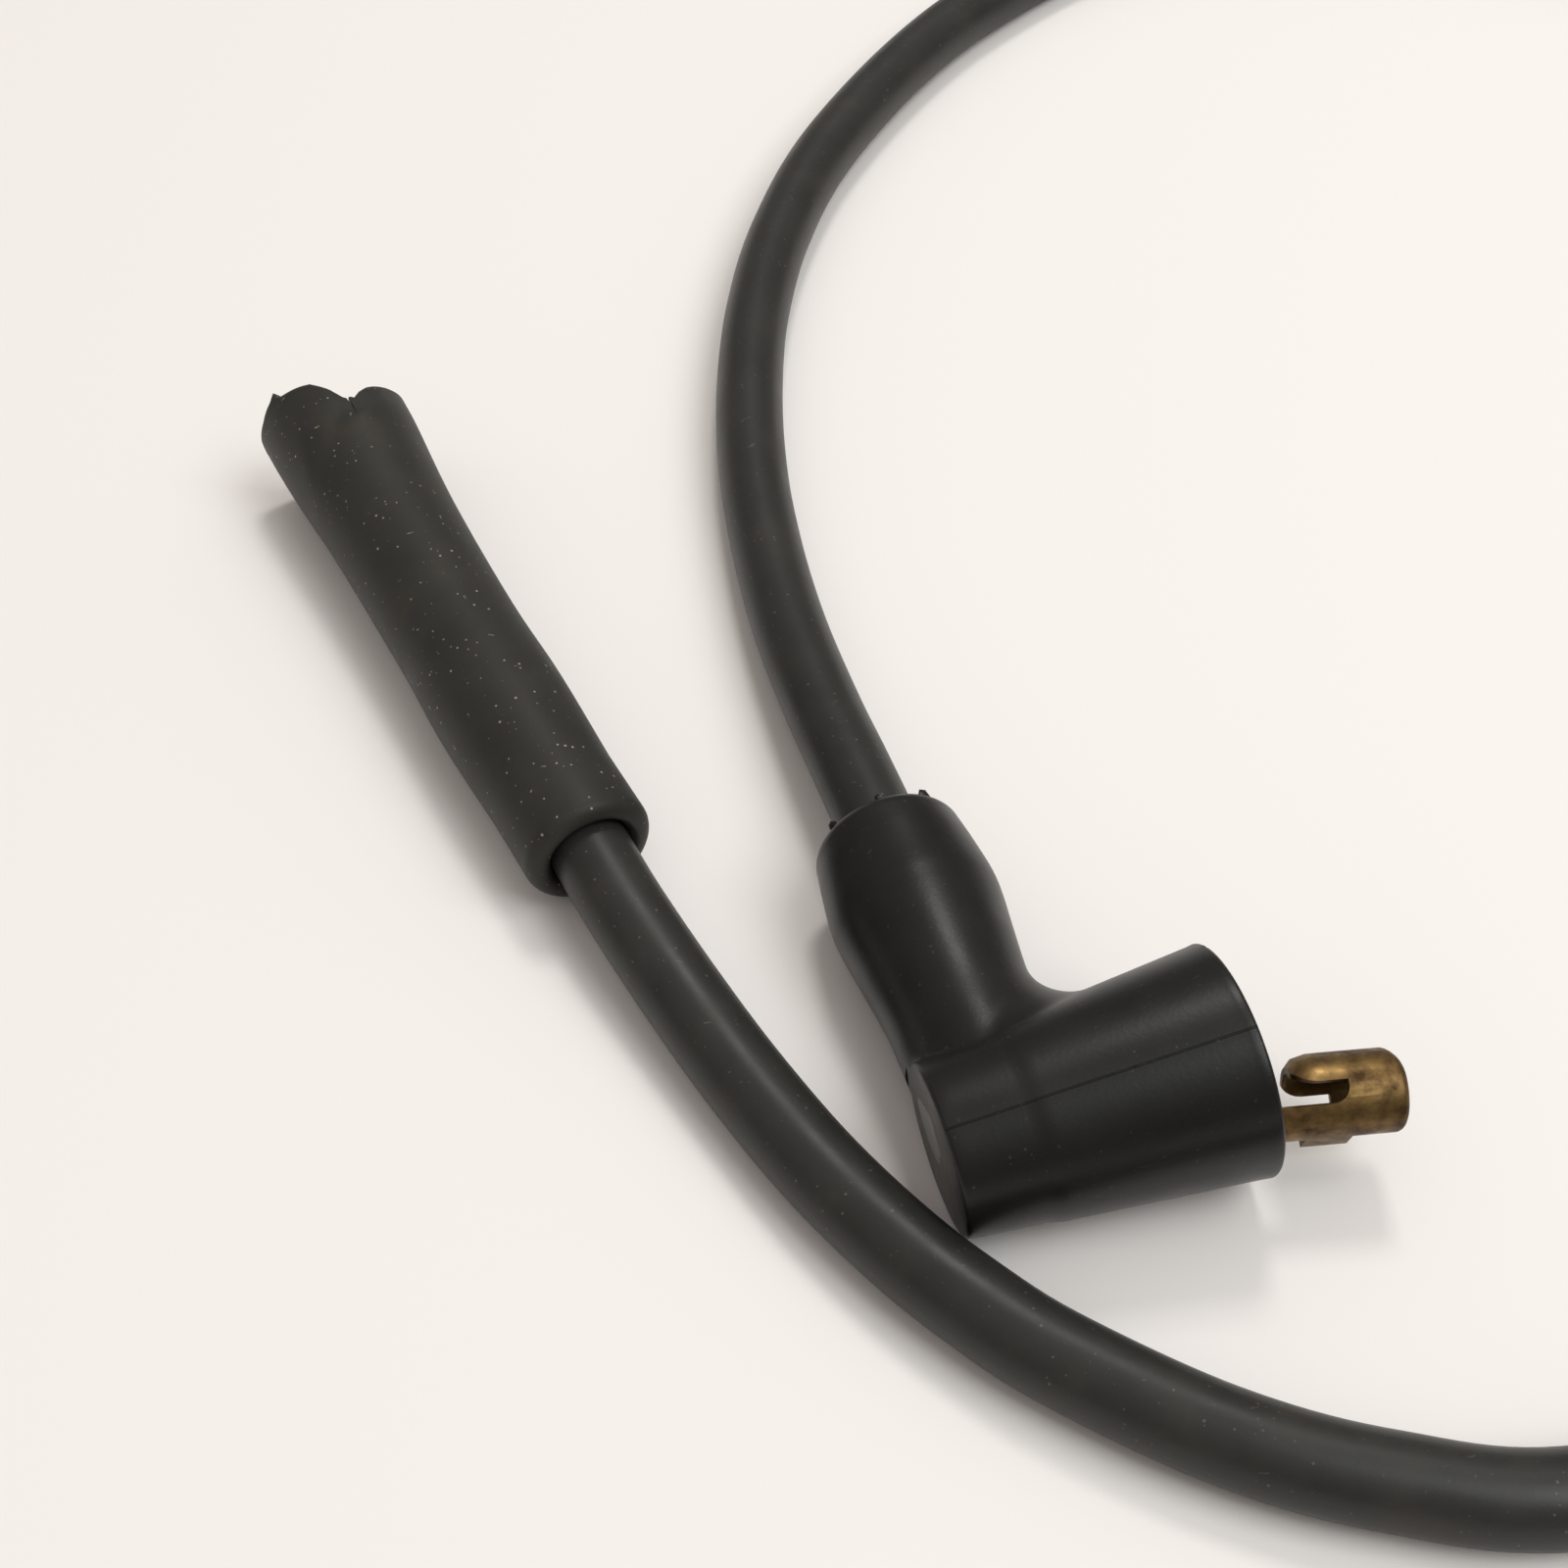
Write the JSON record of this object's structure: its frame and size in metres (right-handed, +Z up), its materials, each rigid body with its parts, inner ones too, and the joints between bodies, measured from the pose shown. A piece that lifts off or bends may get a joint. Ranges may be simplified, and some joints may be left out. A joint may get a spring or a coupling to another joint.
{
  "type": "spark plug wire",
  "caption": "High tension ignition lead with a straight rubber plug boot on one end and a right angled rubber distributor boot with a ring terminal on the other.",
  "frame": {"origin": "on the table, below the centre of the box round the two boots and their terminals", "axes": "+X is the way that the right angled boot's mouth points, +Y runs from that boot towards the plug boot's mouth, +Z is up from the table"},
  "size_m": [0.2015, 0.2254, 0.0185],
  "materials": {
    "boot_rubber": "satin, slightly dusty near-black rubber",
    "jacket_rubber": "satin near-black rubber jacket",
    "aged_brass": "dull olive brown brass",
    "carbon_core": "matt black carbon filled cord"
  },
  "bodies": {
    "root": {"plug_boot": "boot_rubber", "plug_terminal": "aged_brass", "distributor_boot": "boot_rubber", "distributor_terminal": "aged_brass", "lead_jacket": "jacket_rubber", "lead_core": "carbon_core"}
  },
  "joints": []
}
